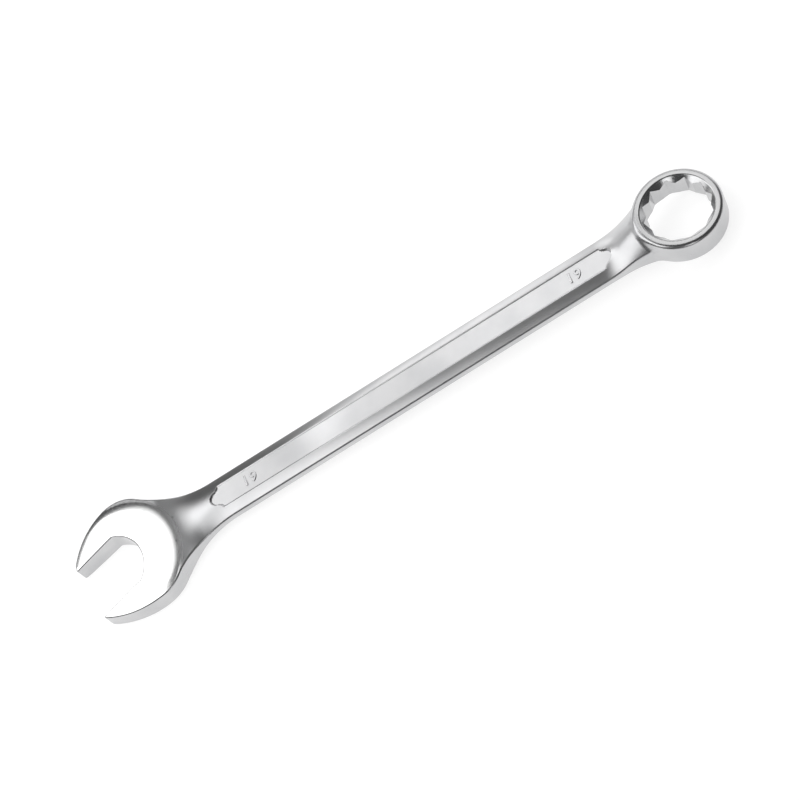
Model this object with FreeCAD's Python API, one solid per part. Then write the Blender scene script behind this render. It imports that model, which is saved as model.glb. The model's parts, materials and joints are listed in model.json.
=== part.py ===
import FreeCAD, Part
import math
import os

from FreeCAD import Vector

# Combination wrench, one forging, in millimetres.
# The origin is the centre of the box end's socket. +X runs from the open end to the box end,
# +Z is normal to the shank's face, and the shank's mid-plane is Z = 0.
# In the open end, "out" runs from the shank towards the jaw tips and "across" runs from the
# +Y jaw to the -Y jaw.

# Driving dimensions
across_flats = 19.0
jaw_clearance = 0.2
centre_distance = 194.0
jaw_angle = 15.0
ring_tilt = 15.0

# Open end
near_jaw_reach = 22.4
far_jaw_reach = 20.3
jaw_tip_overlap = 1.0
throat_centre_out = 12.3
throat_centre_across = -0.3
throat_radius = 11.5
cheek_radius = 12.7
cheek_centre_out = 2.8
cheek_centre_across = 6.95
near_jaw_back_radius = 30.0
far_jaw_back_radius = 26.0
jaw_back_turn = 7.5
head_half_thickness = 3.8
head_dome_radius = 353.0
plateau_radius = 20.4
plateau_centre_out = 8.5
plateau_centre_across = 0.5
head_rim_half_height = 3.0

# Shank
shank_half_width = 7.4
side_band_half_height = 1.2
crown_half_thickness = 2.9
panel_half_width = 3.95
panel_floor_height = 2.15
panel_from_ring = 25.0
panel_from_jaw_centre = 27.3
panel_lobe_length = 2.3
panel_lobe_step = 0.6
panel_lobe_half_width = 2.4

# Necks and box end
neck_fillet_radius = 34.0
head_neck_length = 30.0
head_neck_flare = 0.95
head_neck_waist = 0.2
head_neck_rise = 0.2
ring_neck_length = 28.0
ring_radius = 14.1
ring_half_height = 4.4
ring_shoulder_radius = 1.3
socket_corner_radius = 10.95
socket_chamfer_radius = 11.65
neck_top_at_ring = 7.2
neck_top_edge_at_ring = 3.9
neck_under_at_ring = 2.2
neck_under_edge_at_ring = 1.9

# The two necks are where the forging is divided into its three regions
open_end_cut = 21.0
box_end_cut = 26.0
blank_half_height = 20.0
section_overrun = 1.2
neck_loft_spans = 6

jaw_half_gap = (across_flats + jaw_clearance) / 2
jaw_turn = math.radians(jaw_angle)
tilt = math.radians(ring_tilt)
jaw_centre_x = -centre_distance


def jaw_point(out, across, height=0.0):
    """A point of the open end, given along the jaws and across them."""
    x = jaw_centre_x - out * math.cos(jaw_turn) + across * math.sin(jaw_turn)
    y = -out * math.sin(jaw_turn) - across * math.cos(jaw_turn)
    return Vector(x, y, height)


def towards(start, end, distance):
    """The point at a distance from start in the direction of end."""
    step = end - start
    step.normalize()
    return start + step * distance


def arc_about(centre, start, end, radius, inner):
    """The arc from start to end about centre, on the side of the point inner."""
    middle = towards(centre, inner, radius)
    return Part.Arc(start, middle, end).toShape()


def prism(edges, height):
    """The closed outline, extruded up and down by the height."""
    face = Part.Face(Part.Wire(edges))
    face.translate(Vector(0, 0, -height))
    return face.extrude(Vector(0, 0, 2 * height))


def side_outline(side):
    """The edges and corner points of one long side of the forging, from jaw tip to ring.

    side is 1 for the -Y side and -1 for the +Y side."""
    cheek = jaw_point(cheek_centre_out, side * cheek_centre_across)
    turn = math.radians(jaw_back_turn)
    back_radius = near_jaw_back_radius if side > 0 else far_jaw_back_radius
    back_offset = back_radius - cheek_radius
    back_out = cheek_centre_out - back_offset * math.sin(turn)
    back_across = cheek_centre_across - back_offset * math.cos(turn)
    back = jaw_point(back_out, side * back_across)
    reach = near_jaw_reach if side > 0 else far_jaw_reach
    corner_across = back_across + math.sqrt(back_radius**2 - (reach - back_out) ** 2)
    tip = jaw_point(reach, side * (jaw_half_gap - jaw_tip_overlap))
    corner = jaw_point(reach, side * corner_across)
    back_end = towards(back, cheek, back_radius)

    edge_y = -side * shank_half_width
    fillet_y = -side * (shank_half_width + neck_fillet_radius)
    span = cheek_radius + neck_fillet_radius
    head_fillet_x = cheek.x + math.sqrt(span**2 - (fillet_y - cheek.y) ** 2)
    head_fillet = Vector(head_fillet_x, fillet_y, 0)
    cheek_end = towards(cheek, head_fillet, cheek_radius)
    shank_start = Vector(head_fillet_x, edge_y, 0)

    ring_fillet_x = -ring_fillet_distance()
    ring_fillet = Vector(ring_fillet_x, fillet_y, 0)
    shank_end = Vector(ring_fillet_x, edge_y, 0)
    ring_point = towards(Vector(0, 0, 0), ring_fillet, ring_radius)

    jaw_back_mid = (corner + back_end) * 0.5
    cheek_mid = (back_end + cheek_end) * 0.5
    head_fillet_mid = (cheek_end + shank_start) * 0.5
    ring_fillet_mid = (shank_end + ring_point) * 0.5
    edges = [
        Part.makeLine(tip, corner),
        arc_about(back, corner, back_end, back_radius, jaw_back_mid),
        arc_about(cheek, back_end, cheek_end, cheek_radius, cheek_mid),
        arc_about(head_fillet, cheek_end, shank_start, neck_fillet_radius, head_fillet_mid),
        Part.makeLine(shank_start, shank_end),
        arc_about(ring_fillet, shank_end, ring_point, neck_fillet_radius, ring_fillet_mid),
    ]
    return edges, tip, ring_point


def plan_prism():
    """Everything inside the forging's outline, seen along Z. The ring is added later."""
    near_edges, near_tip, near_ring = side_outline(1)
    far_edges, far_tip, far_ring = side_outline(-1)
    closing = [Part.makeLine(near_ring, far_ring), Part.makeLine(far_tip, near_tip)]
    edges = Part.__sortEdges__(near_edges + far_edges + closing)
    return prism(edges, blank_half_height)


def crowned_section(x, half_width, top, top_edge, under, under_edge):
    """A cross-section whose arched faces pass through their crowns and through their edge heights.

    It runs on past the half width, so that the outline trims it to a side band."""
    wide = half_width * section_overrun
    top_z = top - (top - top_edge) * section_overrun**2
    under_z = under - (under - under_edge) * section_overrun**2
    corners = [
        Vector(x, -wide, top_z),
        Vector(x, wide, top_z),
        Vector(x, wide, -under_z),
        Vector(x, -wide, -under_z),
    ]
    return Part.Wire([
        Part.Arc(corners[0], Vector(x, 0, top), corners[1]).toShape(),
        Part.makeLine(corners[1], corners[2]),
        Part.Arc(corners[2], Vector(x, 0, -under), corners[3]).toShape(),
        Part.makeLine(corners[3], corners[0]),
    ])


def shank_section(x):
    """The shank's own cross-section."""
    crown = crown_half_thickness
    edge = side_band_half_height
    return crowned_section(x, shank_half_width, crown, edge, crown, edge)


def shank_bar():
    """The straight bar between the two necks."""
    start_x = jaw_centre_x + head_neck_length
    length = centre_distance - head_neck_length - ring_neck_length
    return Part.Face(shank_section(start_x)).extrude(Vector(length, 0, 0))


def fillet_width(offset):
    """The neck's half width at a distance past the point where its fillet starts."""
    drop = neck_fillet_radius**2 - max(offset, 0) ** 2
    return shank_half_width + neck_fillet_radius - math.sqrt(drop)


def blended(start, end, share):
    """A height between start and end that leaves start level."""
    return start + (end - start) * share**2


def head_neck():
    """The neck of the open end, whose side bands grow to the plate's rim."""
    sections = []
    for span in range(neck_loft_spans + 1):
        share = span / neck_loft_spans
        offset = head_neck_length * share
        width = fillet_width(offset * head_neck_flare)
        waist = head_neck_waist * math.sin(math.pi * share)
        crown = blended(crown_half_thickness, head_rim_half_height + head_neck_rise, share) - waist
        edge = blended(side_band_half_height, head_rim_half_height, share)
        x = jaw_centre_x + head_neck_length - offset
        sections.append(crowned_section(x, width, crown, edge, crown, edge))
    return Part.makeLoft(sections, True, False)


def head_plate():
    """The open end's plate: flat-domed faces that stop at a round edge towards the neck."""
    sphere_drop = head_dome_radius - head_half_thickness
    upper = Part.makeSphere(head_dome_radius, jaw_point(0, 0, -sphere_drop))
    lower = Part.makeSphere(head_dome_radius, jaw_point(0, 0, sphere_drop))
    foot = jaw_point(plateau_centre_out, plateau_centre_across, -blank_half_height)
    disc = Part.makeCylinder(plateau_radius, 2 * blank_half_height, foot)
    return disc.common(upper).common(lower)


def rim_plate():
    """The thinner plate outside the round-edged one, out to the open end's outline."""
    length = 2 * near_jaw_reach
    width = 2 * length
    corner = Vector(jaw_centre_x - length, -length, -head_rim_half_height)
    return Part.makeBox(length, width, 2 * head_rim_half_height, corner)


def ring_neck():
    """The neck of the box end, which climbs to the ring's upper rim and thins underneath."""
    rim_x = -ring_shoulder_start() * math.cos(tilt) + ring_half_height * math.sin(tilt)
    run = ring_neck_length + rim_x
    fillet_start = ring_neck_length - ring_fillet_distance()
    sections = []
    for span in range(neck_loft_spans + 1):
        share = span / neck_loft_spans
        width = fillet_width(run * share - fillet_start)
        top = blended(crown_half_thickness, neck_top_at_ring, share)
        top_edge = blended(side_band_half_height, neck_top_edge_at_ring, share)
        under = blended(crown_half_thickness, neck_under_at_ring, share)
        under_edge = blended(side_band_half_height, neck_under_edge_at_ring, share)
        x = run * share - ring_neck_length
        sections.append(crowned_section(x, width, top, top_edge, under, under_edge))
    return Part.makeLoft(sections, True, False)


def ring_shoulder_start():
    """The radius at which the ring's flat end face turns into its shoulder."""
    return ring_radius - ring_shoulder_radius


def ring_fillet_distance():
    """The distance from the ring's centre to where the neck's fillet starts."""
    fillet_y = shank_half_width + neck_fillet_radius
    return math.sqrt((ring_radius + neck_fillet_radius) ** 2 - fillet_y**2)


def tilted(shape):
    """The shape, turned from the Z axis to the box end's axis."""
    shape.rotate(Vector(0, 0, 0), Vector(0, 1, 0), ring_tilt)
    return shape


def ring_body():
    """The box end's ring with rounded shoulders, before its socket is cut."""
    wall_top = ring_half_height - ring_shoulder_radius
    face_radius = ring_shoulder_start()
    shoulder_x = face_radius + ring_shoulder_radius * math.cos(math.pi / 4)
    shoulder_z = wall_top + ring_shoulder_radius * math.sin(math.pi / 4)
    top = Vector(face_radius, 0, ring_half_height)
    wall_upper = Vector(ring_radius, 0, wall_top)
    wall_lower = Vector(ring_radius, 0, -wall_top)
    bottom = Vector(face_radius, 0, -ring_half_height)
    profile = Part.Wire([
        Part.makeLine(Vector(0, 0, ring_half_height), top),
        Part.Arc(top, Vector(shoulder_x, 0, shoulder_z), wall_upper).toShape(),
        Part.makeLine(wall_upper, wall_lower),
        Part.Arc(wall_lower, Vector(shoulder_x, 0, -shoulder_z), bottom).toShape(),
        Part.makeLine(bottom, Vector(0, 0, -ring_half_height)),
        Part.makeLine(Vector(0, 0, -ring_half_height), Vector(0, 0, ring_half_height)),
    ])
    ring = Part.Face(profile).revolve(Vector(0, 0, 0), Vector(0, 0, 1), 360)
    return tilted(ring)


def hexagon_prism(turn, height):
    """A hexagonal bar of the wrench's size, turned about Z by an angle in degrees."""
    corner_radius = across_flats / math.sqrt(3)
    corners = []
    for index in range(6):
        angle = math.radians(turn + 60 * index)
        corners.append(Vector(corner_radius * math.cos(angle), corner_radius * math.sin(angle), 0))
    return prism(Part.makePolygon(corners + corners[:1]).Edges, height)


def socket_cutter():
    """The twelve-point socket: two hexagons with blunted corners, and a chamfer at each end."""
    height = ring_half_height + 1
    star = hexagon_prism(15, height).fuse(hexagon_prism(45, height))
    blunt = Part.makeCylinder(socket_corner_radius, 2 * height, Vector(0, 0, -height))
    star = star.common(blunt)
    inner_radius = across_flats / 2
    depth = socket_chamfer_radius - inner_radius
    chamfer_foot = Vector(0, 0, ring_half_height - depth)
    upper = Part.makeCone(inner_radius, socket_chamfer_radius + 1, depth + 1, chamfer_foot)
    lower = upper.mirror(Vector(0, 0, 0), Vector(0, 0, 1))
    return tilted(star.fuse(upper).fuse(lower))


def ring_face_clearance():
    """The spaces beyond the ring's two end faces, which the neck doesn't reach into."""
    radius = ring_shoulder_start()
    upper = Part.makeCylinder(radius, ring_radius, Vector(0, 0, ring_half_height))
    lower = upper.mirror(Vector(0, 0, 0), Vector(0, 0, 1))
    return tilted(upper.fuse(lower))


def flat_start(across):
    """How far out a jaw's flat starts, where the round throat reaches it."""
    beside = across - throat_centre_across
    return throat_centre_out - math.sqrt(throat_radius**2 - beside**2)


def jaw_cutter():
    """The mouth of the open end: two flats that meet in a round throat."""
    mouth = 2 * near_jaw_reach
    near_start = jaw_point(flat_start(jaw_half_gap), jaw_half_gap)
    far_start = jaw_point(flat_start(-jaw_half_gap), -jaw_half_gap)
    throat_bottom = jaw_point(throat_centre_out - throat_radius, throat_centre_across)
    near_end = jaw_point(mouth, jaw_half_gap)
    far_end = jaw_point(mouth, -jaw_half_gap)
    edges = [
        Part.Arc(near_start, throat_bottom, far_start).toShape(),
        Part.makeLine(far_start, far_end),
        Part.makeLine(far_end, near_end),
        Part.makeLine(near_end, near_start),
    ]
    return prism(edges, blank_half_height)


def panel_end(x, outwards):
    """The corner points of one panel end, which steps in and swells to a lobe."""
    lobe_x = x + outwards * panel_lobe_length
    notch = Vector(x + outwards * panel_lobe_step, panel_lobe_half_width, 0)
    return Vector(x, panel_half_width, 0), notch, Vector(lobe_x, 0, 0)


def mirrored(point):
    """The point on the other side of the shank's centre line."""
    return Vector(point.x, -point.y, point.z)


def panel_cutter():
    """The sunk panel along both faces of the shank."""
    jaw_end_x = jaw_centre_x + panel_from_jaw_centre
    corner_a, notch_a, lobe_a = panel_end(jaw_end_x, -1)
    corner_b, notch_b, lobe_b = panel_end(-panel_from_ring, 1)
    edges = [
        Part.makeLine(corner_a, corner_b),
        Part.makeLine(corner_b, notch_b),
        Part.Arc(notch_b, lobe_b, mirrored(notch_b)).toShape(),
        Part.makeLine(mirrored(notch_b), mirrored(corner_b)),
        Part.makeLine(mirrored(corner_b), mirrored(corner_a)),
        Part.makeLine(mirrored(corner_a), mirrored(notch_a)),
        Part.Arc(mirrored(notch_a), lobe_a, notch_a).toShape(),
        Part.makeLine(notch_a, corner_a),
    ]
    upper = Part.Face(Part.Wire(edges)).extrude(Vector(0, 0, 1))
    upper.translate(Vector(0, 0, panel_floor_height))
    lower = upper.mirror(Vector(0, 0, 0), Vector(0, 0, 1))
    return upper.fuse(lower)


def forging():
    """The whole wrench as one solid."""
    blank = shank_bar().fuse([head_plate(), rim_plate(), head_neck(), ring_neck()])
    blank = blank.common(plan_prism())
    blank = blank.cut(panel_cutter())
    blank = blank.cut(ring_face_clearance())
    blank = blank.fuse(ring_body())
    return blank.cut([jaw_cutter(), socket_cutter()]).removeSplitter()


def slab(from_x, to_x):
    """All the space between two planes across the shank."""
    size = 2 * blank_half_height
    corner = Vector(from_x, -3 * blank_half_height, -blank_half_height)
    return Part.makeBox(to_x - from_x, 3 * size, size, corner)


def write(name, shape):
    """Writes a region's one solid."""
    solid = shape.Solids[0]
    volume = round(solid.Volume, 1)
    print(name, len(shape.Solids), "solid, valid", solid.isValid(), "volume", volume, "mm3")
    solid.exportStep("parts/" + name + ".step")


os.makedirs("parts", exist_ok=True)
wrench = forging()
first_x = jaw_centre_x - 2 * blank_half_height
last_x = 2 * ring_radius
head_cut_x = jaw_centre_x + open_end_cut
write("open_end_head", wrench.common(slab(first_x, head_cut_x)))
write("shank", wrench.common(slab(head_cut_x, -box_end_cut)))
write("box_end_head", wrench.common(slab(-box_end_cut, last_x)))
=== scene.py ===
import json
import math

import bpy
import numpy as np
from mathutils import Matrix, Vector

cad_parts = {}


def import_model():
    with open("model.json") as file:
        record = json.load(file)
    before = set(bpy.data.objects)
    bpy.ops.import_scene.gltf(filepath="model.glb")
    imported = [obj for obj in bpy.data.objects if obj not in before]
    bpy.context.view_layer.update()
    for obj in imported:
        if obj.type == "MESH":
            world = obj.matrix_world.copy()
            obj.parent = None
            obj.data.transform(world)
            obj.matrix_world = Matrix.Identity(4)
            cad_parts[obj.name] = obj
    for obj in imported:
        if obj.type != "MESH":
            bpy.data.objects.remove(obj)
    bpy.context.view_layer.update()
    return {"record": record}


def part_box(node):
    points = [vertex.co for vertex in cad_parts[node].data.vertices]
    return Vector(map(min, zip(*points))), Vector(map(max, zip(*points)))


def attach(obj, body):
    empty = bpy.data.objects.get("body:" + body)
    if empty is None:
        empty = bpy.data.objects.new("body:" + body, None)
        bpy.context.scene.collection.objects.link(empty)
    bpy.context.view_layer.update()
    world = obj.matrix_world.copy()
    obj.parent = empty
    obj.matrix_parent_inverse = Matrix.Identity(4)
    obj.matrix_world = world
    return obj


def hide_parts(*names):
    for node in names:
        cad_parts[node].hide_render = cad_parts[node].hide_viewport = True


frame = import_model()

# The combination wrench's surface is one formula: nearly a signed distance, negative inside
# the steel.
# Forms are worked out in millimetres in the row's frame, and become metres when a mesh is made.
# The frame's origin is the centre of the box end's socket. "out" runs along the jaws towards
# their tips, and "across" runs from the +Y jaw to the -Y jaw.

MM = 0.001
mounts = {mount["name"]: mount for mount in frame["record"]["mounts"]}
jaw_out = np.array(mounts["open_end_jaw"]["axis"][:2])
jaw_across = np.array(mounts["jaw_face_far"]["axis"][:2])
near_face = np.array(mounts["jaw_face_near"]["pos_m"][:2]) / MM
far_face = np.array(mounts["jaw_face_far"]["pos_m"][:2]) / MM
socket_axis = mounts["box_end_socket"]["axis"]
jaw_half_gap = float((near_face - far_face) @ jaw_across) / 2
jaw_middle = (near_face + far_face) / 2
jaw_centre_x = float(jaw_middle[0] - jaw_out[0] * jaw_middle[1] / jaw_out[1])

# Open end
near_reach = 22.9
far_reach = 20.4
tip_round = 0.9
throat_out = 12.3
throat_across = -0.3
throat_radius = 11.5
cheek_radius = 12.7
cheek_out = 2.8
cheek_across = 6.95
near_back_radius = 30.0
far_back_radius = 26.0
back_turn = math.radians(7.5)
dome_height = 3.76
dome_radius = 353.0
plateau_radius = 20.4
plateau_out = 8.5
plateau_across = 0.5
plateau_fall = 0.25
plateau_fall_width = 3.0
rim_fall = 0.08
rim_fall_growth = 0.008
rim_fall_most = 0.2
rim_fall_width = 2.5
cove_width = 8.0
rim_edge_round = 0.5
rim_edge_height = 2.9
gap_edge_round = 0.5

# Shank
shank_half = 7.4
crown_height = 2.9
band_height = 1.15
panel_half = 3.95
panel_floor = 2.15
panel_wall = 0.45
panel_jaw_x = jaw_centre_x + 27.5
panel_ring_x = -25.2
panel_notch = 1.25
panel_lobe = 2.45
panel_lobe_inset = 0.35

# Necks
fillet_radius = 34.0
head_neck_start = 28.0
head_neck_end = 9.0
neck_waist = 2.5
neck_hub = 12.8
ring_neck_start = -28.0
ring_neck_end = -12.2
ring_neck_bend = 0.5
ring_neck_top = 7.82
ring_neck_edge = 3.7
neck_crest_round = 1.6
neck_sink_slope = 0.6
ring_blend = 1.5
ring_neck_under = 2.2
ring_neck_under_edge = 1.9

# Box end
ring_radius = 14.1
ring_half = 4.4
shoulder_round = 1.3
socket_half = 9.5
socket_corner = 10.95
chamfer_radius = 11.65
socket_edge_round = 0.15

# Size numbers
number_height = 5.0
number_spacing = 1.1
number_extrude = 0.14
number_bevel = 0.08
number_lift = 0.02
number_from_jaw_end = 12.1
number_from_ring_end = 11.6

# Polished places: smoother chrome, with a painted sheen, a lighter base colour standing in for
# light, on faces that point up or down
plateau_polish_margin = 0.2
plateau_painted_sheen = 0.9
ring_polish_radius = 12.9
ring_painted_sheen = 0.6

# The grid that the surface is found on, and how far from the axes the steel may reach
CELL = 0.25
grid_low = np.array([jaw_centre_x - 24.0, -21.5, -9.6])
grid_high = np.array([16.5, 19.5, 9.6])
head_reach_y = 22.0
shank_reach_y = 16.0
shank_reach_z = 4.6
ring_reach_z = 10.0
ring_reach_margin = 2.0
deep_inside = -40.0
cap_spacing = 20.0


def rounded_and(a, b, radius):
    """What is inside both a and b, with the edge between them rounded."""
    a = a + radius
    b = b + radius
    outside = np.hypot(np.maximum(a, 0), np.maximum(b, 0))
    return np.minimum(np.maximum(a, b), 0) + outside - radius


def blended_or(a, b, width):
    """What is inside a or b, with the hollow between them filled smoothly."""
    near = np.maximum(width - np.abs(a - b), 0) / width
    return np.minimum(a, b) - near * near * width / 4


def ease(value, start, end):
    """0 at start and 1 at end, level at both."""
    share = np.clip((value - start) / (end - start), 0, 1)
    return share * share * (3 - 2 * share)


def rising(value, start, end):
    """0 before start, 1 at end, and growing as a square from a level start."""
    share = np.clip((value - start) / (end - start), 0, 1)
    return share * share


def ramp(value, start, end, bend):
    """0 before start, 1 at end: a straight climb after a bend that takes a share of the way."""
    overrun = 1.2
    share = np.clip((value - start) / (end - start), 0, overrun)
    bent = np.where(share < bend, share * share / (2 * bend), share - bend / 2)
    return bent / (1 - bend / 2)


def to_jaw(x, y):
    """Row coordinates as distances out along the jaws and across them."""
    dx = x - jaw_centre_x
    out = dx * jaw_out[0] + y * jaw_out[1]
    across = dx * jaw_across[0] + y * jaw_across[1]
    return out, across


def from_jaw(out, across):
    """A point given along the jaws and across them, in row coordinates."""
    x = jaw_centre_x + out * jaw_out[0] + across * jaw_across[0]
    y = out * jaw_out[1] + across * jaw_across[1]
    return np.array([x, y])


def beyond(x, y, first, second):
    """Positive on one side of the line through two centres, where two of their arcs meet."""
    run = second - first
    return run[0] * (y - first[1]) - run[1] * (x - first[0])


def side_distance(x, y, side):
    """Distance past one long edge of the outline: straight shank, neck fillets, cheek, jaw back.

    side is 1 for the -Y edge and -1 for the +Y edge."""
    cheek = from_jaw(cheek_out, side * cheek_across)
    back_radius = near_back_radius if side > 0 else far_back_radius
    offset = back_radius - cheek_radius
    back_out = cheek_out - offset * math.sin(back_turn)
    back_across = cheek_across - offset * math.cos(back_turn)
    back = from_jaw(back_out, side * back_across)
    fillet_y = -side * (shank_half + fillet_radius)
    span = cheek_radius + fillet_radius
    head_fillet_x = cheek[0] + math.sqrt(span**2 - (fillet_y - cheek[1]) ** 2)
    head_fillet = np.array([head_fillet_x, fillet_y])
    reach = neck_hub + fillet_radius
    ring_fillet_x = -math.sqrt(reach**2 - fillet_y**2)
    ring_fillet = np.array([ring_fillet_x, fillet_y])
    ring = np.zeros(2)

    distance = -side * y - shank_half
    head_hollow = fillet_radius - np.hypot(x - head_fillet[0], y - head_fillet[1])
    ring_hollow = fillet_radius - np.hypot(x - ring_fillet[0], y - ring_fillet[1])
    cheek_round = np.hypot(x - cheek[0], y - cheek[1]) - cheek_radius
    back_round = np.hypot(x - back[0], y - back[1]) - back_radius
    ring_round = np.hypot(x, y) - neck_hub
    distance = np.where(x < head_fillet_x, head_hollow, distance)
    distance = np.where(x > ring_fillet_x, ring_hollow, distance)
    past_cheek = side * beyond(x, y, head_fillet, cheek) > 0
    past_back = side * beyond(x, y, cheek, back) > 0
    past_ring = side * beyond(x, y, ring_fillet, ring) < 0
    in_head = x < head_fillet_x
    distance = np.where(in_head & past_cheek, cheek_round, distance)
    distance = np.where(in_head & past_cheek & past_back, back_round, distance)
    return np.where((x > ring_fillet_x) & past_ring, ring_round, distance)


def outline(x, y):
    """Signed distance to the forging's outline seen along Z, without the ring and the jaw gap."""
    out, across = to_jaw(x, y)
    near_side = np.where(x < jaw_centre_x, across > 0, y < 0)
    distance = np.where(near_side, side_distance(x, y, 1), side_distance(x, y, -1))
    reach = np.where(across > 0, near_reach, far_reach)
    in_front = np.where(x < jaw_centre_x, out - reach, deep_inside)
    distance = rounded_and(distance, in_front, tip_round)
    return np.maximum(distance, x)


def panel_distance(x, y):
    """Signed distance to the sunk panel's outline, whose ends step in and swell to a lobe."""
    y = np.abs(y)
    middle = (panel_jaw_x + panel_ring_x) / 2
    half_length = (panel_ring_x - panel_jaw_x) / 2
    along = np.abs(x - middle) - half_length
    bar = np.maximum(along, y - panel_half)
    corner = np.hypot(along, y - panel_half) - panel_notch
    bar = np.maximum(bar, -corner)
    lobe = np.hypot(along + panel_lobe_inset, y) - panel_lobe
    return np.minimum(bar, lobe)


def head_height(x, y, inwards):
    """Half the plate's thickness in the open end, and how much of it shows at a place."""
    out, across = to_jaw(x, y)
    dome = dome_height - (out**2 + across**2) / (2 * dome_radius)
    past = np.hypot(out - plateau_out, across - plateau_across) - plateau_radius
    neck_fall = np.clip(1 + past / plateau_fall_width, 0, 1) ** 2
    near_rim = np.clip(1 - inwards / rim_fall_width, 0, 1) ** 2
    rim_depth = np.clip(rim_fall + rim_fall_growth * out, 0, rim_fall_most)
    height = dome - plateau_fall * neck_fall - rim_depth * near_rim
    share = np.clip(1 - past / cove_width, 0, 1) ** 2
    return height, share


def crowned(y, inwards, crown, edge):
    """A height that arches across the steel, from the crown in the middle to its edges."""
    beside = np.abs(y)
    half_width = beside + np.maximum(inwards, 0)
    fall = (beside / np.maximum(half_width, shank_half / 2)) ** 2
    return crown - (crown - edge) * fall


def heights(x, y, past_edge):
    """How far the steel reaches above and below the mid-plane at a place in the outline."""
    inwards = -past_edge
    from_jaw_centre = x - jaw_centre_x
    head_share = rising(-from_jaw_centre, -head_neck_start, -head_neck_end)
    ring_share = ramp(x, ring_neck_start, ring_neck_end, ring_neck_bend)
    crown = crown_height + (neck_waist - crown_height) * head_share
    edge = band_height + (rim_edge_height - band_height) * head_share
    top = crown + (ring_neck_top - crown_height) * ring_share
    top_edge = edge + (ring_neck_edge - band_height) * ring_share
    under = crown + (ring_neck_under - crown_height) * ring_share
    under_edge = edge + (ring_neck_under_edge - band_height) * ring_share
    top = crowned(y, inwards, top, top_edge)
    under = crowned(y, inwards, under, under_edge)

    plate, share = head_height(x, y, inwards)
    top = top + (plate - top) * share
    under = under + (plate - under) * share

    in_panel = ease(-panel_distance(x, y), 0, panel_wall)
    top = top - np.maximum(top - panel_floor, 0) * in_panel
    under = under - np.maximum(under - panel_floor, 0) * in_panel

    tilt = math.atan2(socket_axis[0], socket_axis[2])
    sunk = neck_sink_slope * np.maximum(x - ring_neck_end, 0)
    ring_plane = ring_half / math.cos(tilt) - x * math.tan(tilt) - sunk
    top = np.where(x > ring_neck_start, blended_or(top, ring_plane, neck_crest_round), top)
    return top, under


def steepness(values, x, y):
    """How much longer a step up a slope is than its height, for the heights."""
    step = 0.05
    ahead_x = heights(x + step, y, outline(x + step, y))
    ahead_y = heights(x, y + step, outline(x, y + step))
    found = []
    for value, dx, dy in zip(values, ahead_x, ahead_y):
        found.append(np.sqrt(1 + ((dx - value) / step) ** 2 + ((dy - value) / step) ** 2))
    return found


def bar_field(x, y, z):
    """The plate, shank and necks: the outline, cut by the heights above and below."""
    past_edge = outline(x, y)
    top, under = heights(x, y, past_edge)
    top_slope, under_slope = steepness((top, under), x, y)
    above = (z - top) / top_slope
    below = (-z - under) / under_slope
    return rounded_and(np.maximum(above, below), past_edge, rim_edge_round)


def hexagon(x, y, turn):
    """Signed distance to a hexagon of the wrench's size, turned by an angle."""
    distance = None
    for index in range(3):
        angle = turn + index * math.pi / 3
        flat = np.abs(x * math.cos(angle) + y * math.sin(angle)) - socket_half
        distance = flat if distance is None else np.maximum(distance, flat)
    return distance


def box_end_fields(x, y, z):
    """The ring before its socket is cut, and the socket."""
    sin, cos = socket_axis[0], socket_axis[2]
    ring_x = x * cos - z * sin
    ring_z = x * sin + z * cos
    radius = np.hypot(ring_x, y)
    ring = rounded_and(radius - ring_radius, np.abs(ring_z) - ring_half, shoulder_round)
    star = np.minimum(hexagon(ring_x, y, 0), hexagon(ring_x, y, math.pi / 6))
    star = np.maximum(star, radius - socket_corner)
    chamfer = (radius - chamfer_radius + ring_half - np.abs(ring_z)) * math.sqrt(0.5)
    return ring, np.minimum(star, chamfer)


def jaw_gap(x, y):
    """Signed distance to the mouth of the open end: two flats and a round throat."""
    out, across = to_jaw(x, y)
    throat = np.hypot(out - throat_out, across - throat_across) - throat_radius
    beside = jaw_half_gap - np.sign(across) * throat_across
    flat_start = throat_out - np.sqrt(throat_radius**2 - beside**2)
    return np.where(out > flat_start, np.abs(across) - jaw_half_gap, throat)


def wrench_field(x, y, z):
    """Signed distance to the whole wrench, in millimetres."""
    steel = bar_field(x, y, z)
    ring, socket = box_end_fields(x, y, z)
    steel = blended_or(steel, ring, ring_blend)
    steel = rounded_and(steel, -jaw_gap(x, y), gap_edge_round)
    return rounded_and(steel, -socket, socket_edge_round)


def slopes(points):
    """The field's gradient at the points, as unit vectors."""
    step = 0.02
    shortest = 1e-12
    corners = np.array([[1, -1, -1], [-1, -1, 1], [-1, 1, -1], [1, 1, 1]]) * step
    total = np.zeros_like(points)
    for corner in corners:
        moved = points + corner
        total += corner * wrench_field(*moved.T)[:, None]
    length = np.linalg.norm(total, axis=1)
    return total / np.maximum(length, shortest)[:, None]


def crossings(values, origin, axis):
    """The grid edges along one axis that the surface crosses, which of them start inside the
    steel, and the places where it crosses them."""
    rounds = 3
    margin = 0.02
    low = [slice(None)] * 3
    high = [slice(None)] * 3
    low[axis] = slice(None, -1)
    high[axis] = slice(1, None)
    first = values[tuple(low)]
    second = values[tuple(high)]
    index = np.argwhere((first < 0) != (second < 0))
    start = first[tuple(index.T)]
    end = second[tuple(index.T)]
    base = origin + index * CELL
    step = np.zeros(3)
    step[axis] = CELL
    left = np.zeros(len(index))
    right = np.ones(len(index))
    for _ in range(rounds):
        share = left + (right - left) * start / (start - end)
        least = margin * (right - left)
        share = np.clip(share, left + least, right - least)
        value = wrench_field(*(base + share[:, None] * step).T)
        same = (value < 0) == (start < 0)
        left = np.where(same, share, left)
        start = np.where(same, value, start)
        right = np.where(same, right, share)
        end = np.where(same, end, value)
    share = left + (right - left) * start / (start - end)
    places = base + share[:, None] * step
    return index, first[tuple(index.T)] < 0, places


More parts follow.
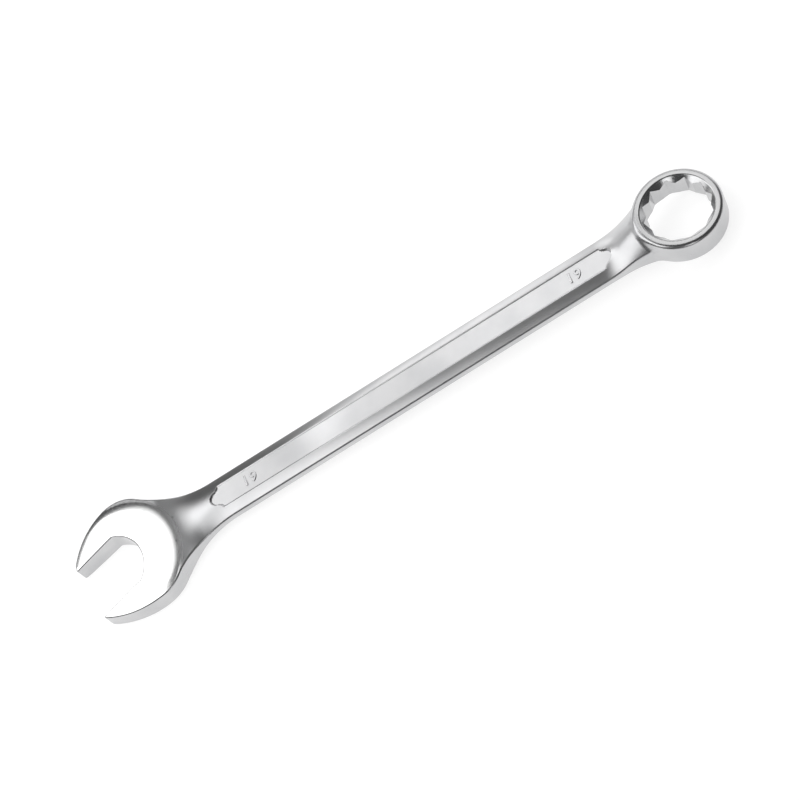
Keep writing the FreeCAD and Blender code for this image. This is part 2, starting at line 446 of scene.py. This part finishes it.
def surface_mesh():
    """Dual contouring of the wrench: points, quads that face outwards, and the X of each
    point's cell, by which the wrench is divided.

    Each grid cell that the surface passes gets the point nearest to all the surface's tangent
    planes there, so edges stay sharp."""
    counts = np.ceil((grid_high - grid_low) / CELL).astype(int) + 1
    axes = [grid_low[i] + np.arange(counts[i]) * CELL for i in range(3)]
    values = grid_values(axes)
    cells = []
    places = []
    quads = []
    for axis in range(3):
        index, inside_first, place = crossings(values, grid_low, axis)
        others = [i for i in range(3) if i != axis]
        corners = []
        for first, second in ((0, 0), (1, 0), (1, 1), (0, 1)):
            cell = index.copy()
            cell[:, others[0]] -= 1 - first
            cell[:, others[1]] -= 1 - second
            corners.append(np.ravel_multi_index(cell.T, counts))
        quad = np.stack(corners, 1)
        outwards = inside_first if axis != 1 else ~inside_first
        quads.append(np.where(outwards[:, None], quad, quad[:, ::-1]))
        cells.append(quad)
        places.append(place)
    cells = np.concatenate(cells)
    places = np.concatenate(places)
    quads = np.concatenate(quads)
    normals = slopes(places)
    used, owner = np.unique(cells.ravel(), return_inverse=True)
    owner = owner.ravel()
    cell_index = np.stack(np.unravel_index(used, counts), 1)
    points = nearest_points(owner, np.repeat(places, 4, 0), np.repeat(normals, 4, 0), len(used))
    corner = grid_low + cell_index * CELL
    points = np.clip(points, corner, corner + CELL)
    return points, np.searchsorted(used, quads), corner[:, 0]


def grid_values(axes):
    """The field on a grid, one plane at a time, and only as far out as the steel may reach."""
    values = np.ones([len(axis) for axis in axes], np.float32)
    for index, x in enumerate(axes[0]):
        reach_y = head_reach_y if x < jaw_centre_x + head_neck_start else shank_reach_y
        reach_z = shank_reach_z if x < ring_neck_start - ring_reach_margin else ring_reach_z
        ys = np.flatnonzero(np.abs(axes[1]) < reach_y)
        zs = np.flatnonzero(np.abs(axes[2]) < reach_z)
        y, z = np.meshgrid(axes[1][ys], axes[2][zs], indexing="ij")
        plane = wrench_field(np.full_like(y, x), y, z)
        values[index, ys[0]:ys[-1] + 1, zs[0]:zs[-1] + 1] = plane
    return values


def nearest_points(owner, places, normals, count):
    """For each cell, the point nearest to its tangent planes, held a little to their middle."""
    hold = 0.03

    def total(weights):
        return np.bincount(owner, weights, count)

    amount = np.bincount(owner, minlength=count)
    middle = np.stack([total(places[:, i]) for i in range(3)], 1) / amount[:, None]
    offset = places - middle[owner]
    reach = np.einsum("ij,ij->i", offset, normals)
    matrix = np.empty((count, 3, 3))
    vector = np.empty((count, 3))
    for i in range(3):
        vector[:, i] = total(normals[:, i] * reach)
        for j in range(i, 3):
            matrix[:, i, j] = total(normals[:, i] * normals[:, j])
            matrix[:, j, i] = matrix[:, i, j]
    matrix += np.eye(3) * (hold * amount)[:, None, None]
    return middle + np.linalg.solve(matrix, vector[:, :, None])[:, :, 0]


def corner_normals(points, quads):
    """The surface's own normal at each corner of each face, taken a little way into the face."""
    into_face = 0.2
    corners = points[quads]
    middle = corners.mean(1, keepdims=True)
    inner = corners + (middle - corners) * into_face
    return slopes(inner.reshape(-1, 3)).reshape(-1, 4, 3)


def open_edges(points, quads):
    """The starts and ends of the edges that only one face of a region has."""
    starts = quads.ravel()
    ends = np.roll(quads, -1, 1).ravel()
    forward = starts * len(points) + ends
    backward = ends * len(points) + starts
    alone = ~np.isin(forward, backward)
    return starts[alone], ends[alone]


def region(name, points, quads, normals):
    """A closed mesh object of one region of the forging.

    Triangles from a middle point close it at each cut. The cuts lie further apart than
    cap_spacing, which tells their edges apart."""
    starts, ends = open_edges(points, quads)
    caps = np.round(points[starts][:, 0] / cap_spacing)
    used, numbered = np.unique(quads, return_inverse=True)
    faces = numbered.reshape(-1, 4).tolist()
    kept = points[used].tolist()
    loops = normals.reshape(-1, 3).tolist()
    for cap in np.unique(caps):
        there = caps == cap
        middle = points[starts[there]].mean(0)
        facing = 1.0 if middle[0] > points[used][:, 0].mean() else -1.0
        first = np.searchsorted(used, starts[there])
        second = np.searchsorted(used, ends[there])
        for a, b in zip(first.tolist(), second.tolist()):
            faces.append([b, a, len(kept)])
            loops.extend([[facing, 0.0, 0.0]] * 3)
        kept.append(middle.tolist())
    mesh = bpy.data.meshes.new(name)
    mesh.from_pydata((np.array(kept) * MM).tolist(), [], faces)
    mesh.shade_smooth()
    mesh.normals_split_custom_set(loops)
    mesh.validate()
    made = bpy.data.objects.new(name, mesh)
    bpy.context.scene.collection.objects.link(made)
    return made


def regions():
    """The forging's surface as three objects, one for each of the CAD model's regions."""
    points, quads, column = surface_mesh()
    normals = corner_normals(points, quads)
    head_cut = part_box("shank")[0].x / MM
    ring_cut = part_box("shank")[1].x / MM
    last = column[quads].max(1)
    groups = {
        "open_end_head": last < head_cut,
        "shank": (last >= head_cut) & (last < ring_cut),
        "box_end_head": last >= ring_cut,
    }
    made = {}
    for node, chosen in groups.items():
        made[node] = region("forged_" + node, points, quads[chosen], normals[chosen])
    return made, points


# ==== Blender

# Chrome. Scales are in cells per metre, and pairs are the two ends of a range.
grain_scale = 4200.0
mottle_scale = 700.0
cloud_scale = 90.0
mottle_range = (0.2, 0.8)
cloud_range = (0.35, 0.65)
satin_roughness = (0.275, 0.295)
polished_roughness = (0.185, 0.205)
# upright_range is how nearly a face must point up or down to take the painted sheen.
upright_range = (0.8, 0.95)
dark_chrome = (0.53, 0.532, 0.54, 1)
light_chrome = (0.59, 0.59, 0.595, 1)
polish_edge = 1.2 * MM
mottle_relief = 0.5
polished_relief = 0.12
rubbed_range = (0.52, 0.6)
rubbed_smoothing = 0.08
cut_margin = (0.6 * MM, 1.2 * MM)
relief_strength = 0.25
relief_depth = 0.01 * MM


def link(tree, start, end):
    """Joins an output to an input."""
    tree.links.new(start, end)


def scaled_noise(tree, place, scale, detail):
    """Noise over the object's own coordinates; scale is in cells per metre."""
    noise = tree.nodes.new("ShaderNodeTexNoise")
    noise.inputs["Scale"].default_value = scale
    noise.inputs["Detail"].default_value = detail
    link(tree, place, noise.inputs["Vector"])
    return noise.outputs["Fac"]


def spread(tree, value, low, high, start=0.0, end=1.0):
    """Maps a value's range from start..end onto low..high, and no further."""
    mapped = tree.nodes.new("ShaderNodeMapRange")
    mapped.inputs["From Min"].default_value = start
    mapped.inputs["From Max"].default_value = end
    mapped.inputs["To Min"].default_value = low
    mapped.inputs["To Max"].default_value = high
    link(tree, value, mapped.inputs["Value"])
    return mapped.outputs["Result"]


def combine(tree, kind, first, second=0.0):
    """One step of arithmetic on two values, or on the first alone."""
    made = tree.nodes.new("ShaderNodeMath")
    made.operation = kind
    for socket, value in zip(made.inputs, (first, second)):
        if isinstance(value, float):
            socket.default_value = value
        else:
            link(tree, value, socket)
    return made.outputs["Value"]


def disc(tree, place, centre, radius, soft):
    """1 within a radius of a point, falling to 0 over a soft edge."""
    reach = tree.nodes.new("ShaderNodeVectorMath")
    reach.operation = "DISTANCE"
    reach.inputs[1].default_value = centre
    link(tree, place, reach.inputs[0])
    return spread(tree, reach.outputs["Value"], 1.0, 0.0, radius - soft, radius + soft)


def chrome(name, polish_and_sheen_places):
    """Chrome plate on a blasted forging, polished smooth round the given places.

    Each place is a centre, a radius and a painted sheen: how light a base colour is painted on
    its polished chrome where it faces up or down, standing in for the light it catches there.
    Fine grain and mottle show in the bump, and edges are rubbed smoother, but not at the cuts
    between the regions."""
    material = bpy.data.materials.new(name)
    material.use_nodes = True
    tree = material.node_tree
    shader = tree.nodes["Principled BSDF"]
    shader.inputs["Metallic"].default_value = 1.0
    place = tree.nodes.new("ShaderNodeTexCoord").outputs["Object"]

    grain = scaled_noise(tree, place, grain_scale, detail=2.0)
    mottle = scaled_noise(tree, place, mottle_scale, detail=3.0)
    cloud = scaled_noise(tree, place, cloud_scale, detail=4.0)

    roughness = spread(tree, mottle, *satin_roughness, *mottle_range)
    # How nearly each face points straight up or down, which places the painted sheen below.
    facing = tree.nodes.new("ShaderNodeSeparateXYZ")
    link(tree, tree.nodes.new("ShaderNodeNewGeometry").outputs["Normal"], facing.inputs[0])
    upright = combine(tree, "ABSOLUTE", facing.outputs["Z"])
    level = spread(tree, upright, 0.0, 1.0, *upright_range)
    tone = tree.nodes.new("ShaderNodeMix")
    tone.data_type = "RGBA"
    tone.inputs["A"].default_value = dark_chrome
    tone.inputs["B"].default_value = light_chrome
    link(tree, spread(tree, cloud, 0.0, 1.0, *cloud_range), tone.inputs["Factor"])
    colour = tone.outputs["Result"]
    height = combine(tree, "ADD", grain, combine(tree, "MULTIPLY", mottle, mottle_relief))
    for centre, radius, painted_sheen in polish_and_sheen_places:
        zone = disc(tree, place, centre, radius, polish_edge)
        polish = spread(tree, mottle, *polished_roughness, *mottle_range)
        blend = tree.nodes.new("ShaderNodeMix")
        link(tree, zone, blend.inputs["Factor"])
        link(tree, roughness, blend.inputs["A"])
        link(tree, polish, blend.inputs["B"])
        roughness = blend.outputs["Result"]
        # Painted sheen: on faces that point up or down, the base colour is lightened towards the
        # place's sheen tone, standing in for light they catch.
        painted_sheen_mix = tree.nodes.new("ShaderNodeMix")
        painted_sheen_mix.data_type = "RGBA"
        painted_sheen_mix.inputs["B"].default_value = (painted_sheen, painted_sheen, painted_sheen, 1)
        link(tree, combine(tree, "MULTIPLY", zone, level), painted_sheen_mix.inputs["Factor"])
        link(tree, colour, painted_sheen_mix.inputs["A"])
        colour = painted_sheen_mix.outputs["Result"]
        rest = combine(tree, "SUBTRACT", 1.0, zone)
        height = combine(tree, "MULTIPLY", height, spread(tree, rest, polished_relief, 1.0))

    edge = tree.nodes.new("ShaderNodeNewGeometry").outputs["Pointiness"]
    rubbed = spread(tree, edge, 0.0, 1.0, *rubbed_range)
    along = tree.nodes.new("ShaderNodeSeparateXYZ")
    link(tree, place, along.inputs[0])
    for cut_x in (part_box("shank")[0].x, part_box("shank")[1].x):
        beside = combine(tree, "ABSOLUTE", combine(tree, "SUBTRACT", along.outputs["X"], cut_x))
        away = spread(tree, beside, 0.0, 1.0, *cut_margin)
        rubbed = combine(tree, "MULTIPLY", rubbed, away)
    smoothing = combine(tree, "MULTIPLY", rubbed, rubbed_smoothing)
    roughness = combine(tree, "SUBTRACT", roughness, smoothing)
    link(tree, roughness, shader.inputs["Roughness"])
    link(tree, colour, shader.inputs["Base Color"])

    bump = tree.nodes.new("ShaderNodeBump")
    bump.inputs["Strength"].default_value = relief_strength
    bump.inputs["Distance"].default_value = relief_depth
    link(tree, height, bump.inputs["Height"])
    link(tree, bump.outputs["Normal"], shader.inputs["Normal"])
    return material


def numerals(x):
    """The raised size number on the panel's floor, read along the shank."""
    text = bpy.data.curves.new("size_number", "FONT")
    text.body = "19"
    text.size = number_height * MM
    text.align_x = "CENTER"
    text.align_y = "CENTER"
    text.space_character = number_spacing
    text.extrude = number_extrude * MM
    text.bevel_depth = number_bevel * MM
    text.bevel_resolution = 2
    shape = bpy.data.objects.new("size_number", text)
    bpy.context.scene.collection.objects.link(shape)
    ready = shape.evaluated_get(bpy.context.evaluated_depsgraph_get())
    mesh = bpy.data.meshes.new_from_object(ready)
    bpy.data.objects.remove(shape)
    made = bpy.data.objects.new("size_number", mesh)
    made.location = (x * MM, 0, (panel_floor + number_lift) * MM)
    bpy.context.scene.collection.objects.link(made)
    return made


def camera():
    """A long lens, high on the near side, turned so the wrench runs up to the right."""
    azimuth, elevation, roll = math.radians(23.24), math.radians(52.87), math.radians(-50.84)
    distance = 2.393
    from_jaw_centre = 0.0920
    aside = -0.0031
    target = Vector((jaw_centre_x * MM + from_jaw_centre, aside, 0))
    back = Vector((
        math.cos(elevation) * math.sin(azimuth),
        -math.cos(elevation) * math.cos(azimuth),
        math.sin(elevation),
    ))
    data = bpy.data.cameras.new("camera")
    data.lens = 360.0
    data.sensor_width = 36.0
    data.clip_end = 20.0
    made = bpy.data.objects.new("camera", data)
    turn = back.to_track_quat("Z", "Y") @ Matrix.Rotation(roll, 3, "Z").to_quaternion()
    made.rotation_mode = "QUATERNION"
    made.rotation_quaternion = turn
    made.location = target + back * distance
    bpy.context.scene.collection.objects.link(made)
    bpy.context.scene.camera = made


def soft_light(name, place, target, size, radiance, turn=0.0, seen_in_metal=True):
    """A soft box of a given brightness, which the camera doesn't see.

    It faces the target, and turn swings its edges about the way it faces, in degrees."""
    data = bpy.data.lights.new(name, "AREA")
    data.shape = "RECTANGLE"
    data.size, data.size_y = size
    data.energy = radiance * size[0] * size[1] * math.pi
    made = bpy.data.objects.new(name, data)
    made.location = place
    aim = Vector(place) - Vector(target)
    made.rotation_mode = "QUATERNION"
    swing = Matrix.Rotation(math.radians(turn), 3, "Z").to_quaternion()
    made.rotation_quaternion = aim.to_track_quat("Z", "Y") @ swing
    made.visible_camera = False
    made.visible_glossy = seen_in_metal
    bpy.context.scene.collection.objects.link(made)


def resting_slope(points):
    """The slope and height of the plane that the wrench lies on, under its two ends."""
    rounds = 8
    head = points[points[:, 0] < jaw_centre_x]
    ring = points[points[:, 0] > ring_neck_start]
    slope = 0.0
    for _ in range(rounds):
        head_low = head[(head[:, 2] - slope * head[:, 0]).argmin()]
        ring_low = ring[(ring[:, 2] - slope * ring[:, 0]).argmin()]
        slope = (ring_low[2] - head_low[2]) / (ring_low[0] - head_low[0])
    return slope, (ring_low[2] - slope * ring_low[0]) * MM


def floor(points):
    """A plain pale floor, a hair under the wrench's two ends so that they don't cut into it."""
    slope, height = resting_slope(points)
    half = 6.0
    gap = 0.02 * MM
    mesh = bpy.data.meshes.new("floor")
    corners = [(-half, -half, 0), (half, -half, 0), (half, half, 0), (-half, half, 0)]
    mesh.from_pydata(corners, [], [(0, 1, 2, 3)])
    made = bpy.data.objects.new("floor", mesh)
    made.location = (0, 0, height - gap)
    made.rotation_euler = (0, -math.atan(slope), 0)
    bpy.context.scene.collection.objects.link(made)
    material = bpy.data.materials.new("pale_floor")
    material.use_nodes = True
    shader = material.node_tree.nodes["Principled BSDF"]
    shader.inputs["Base Color"].default_value = (0.3, 0.3, 0.3, 1)
    shader.inputs["Emission Color"].default_value = (1, 1, 1, 1)
    shader.inputs["Emission Strength"].default_value = 0.78
    shader.inputs["Roughness"].default_value = 0.8
    shader.inputs["Specular IOR Level"].default_value = 0.2
    mesh.materials.append(material)


def world():
    """A dim even surrounding, which the metal mirrors between the lights."""
    made = bpy.data.worlds.new("studio")
    made.use_nodes = True
    background = made.node_tree.nodes["Background"]
    background.inputs["Color"].default_value = (0.98, 0.99, 1.0, 1)
    background.inputs["Strength"].default_value = 0.07
    bpy.context.scene.world = made


pieces, surface = regions()
head_centre = from_jaw(plateau_out, plateau_across) * MM
plateau_centre = (head_centre[0], head_centre[1], 0.0)
plateau_polish_radius = plateau_radius + plateau_polish_margin
# The polished chrome has a painted sheen, a lighter base colour on up- and down-facing faces,
# round the open end's plateau and the box end.
finishes = {
    "polished_chrome": chrome("polished_chrome", [
        (plateau_centre, plateau_polish_radius * MM, plateau_painted_sheen),
        ((0.0, 0.0, 0.0), ring_polish_radius * MM, ring_painted_sheen),
    ]),
    "satin_chrome": chrome("satin_chrome", []),
}
slots = {part["node"]: part["material_slot"] for part in frame["record"]["subparts"]}
for node, piece in pieces.items():
    piece.data.materials.append(finishes[slots[node]])
    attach(piece, "root")
    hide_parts(node)

for number_x in (panel_jaw_x + number_from_jaw_end, panel_ring_x - number_from_ring_end):
    number = numerals(number_x)
    number.data.materials.append(finishes["satin_chrome"])
    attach(number, "root")

camera()
floor(surface)
world()
bpy.context.scene.view_settings.view_transform = "Standard"
# Each light has a place, a target, a width and depth in metres, and a brightness.
soft_light("head_box", (-0.462, 0.025, 0.40), (-0.462, 0.025, 0), (0.44, 0.62), 1.8, turn=20)
soft_light("high_back_box", (-0.91, 1.0, 1.72), (-0.91, 0, 1.72), (1.08, 1.5), 1.1)
soft_light("panel_box", (-0.09, 0.15, 0.20), (-0.09, 0.15, 0), (0.11, 0.14), 0.9)
soft_light("neck_box", (-0.10, 0.075, 0.035), (-0.02, 0, 0.035), (0.13, 0.035), 0.9)
soft_light("low_back_box", (0.045, 0.25, 0.08), (0.045, 0, 0.08), (0.47, 0.16), 0.75)
soft_light("ring_back_box", (0.19, 0.45, 0.66), (0.19, 0, 0), (0.48, 0.4), 1.2)
soft_light("front_box", (0.06, -0.5, 0.31), (0, 0, 0), (0.2, 0.2), 1.8)
soft_light("floor_fill", (0, 0, 1.6), (0, 0, 0), (2.4, 2.4), 1.2, seen_in_metal=False)
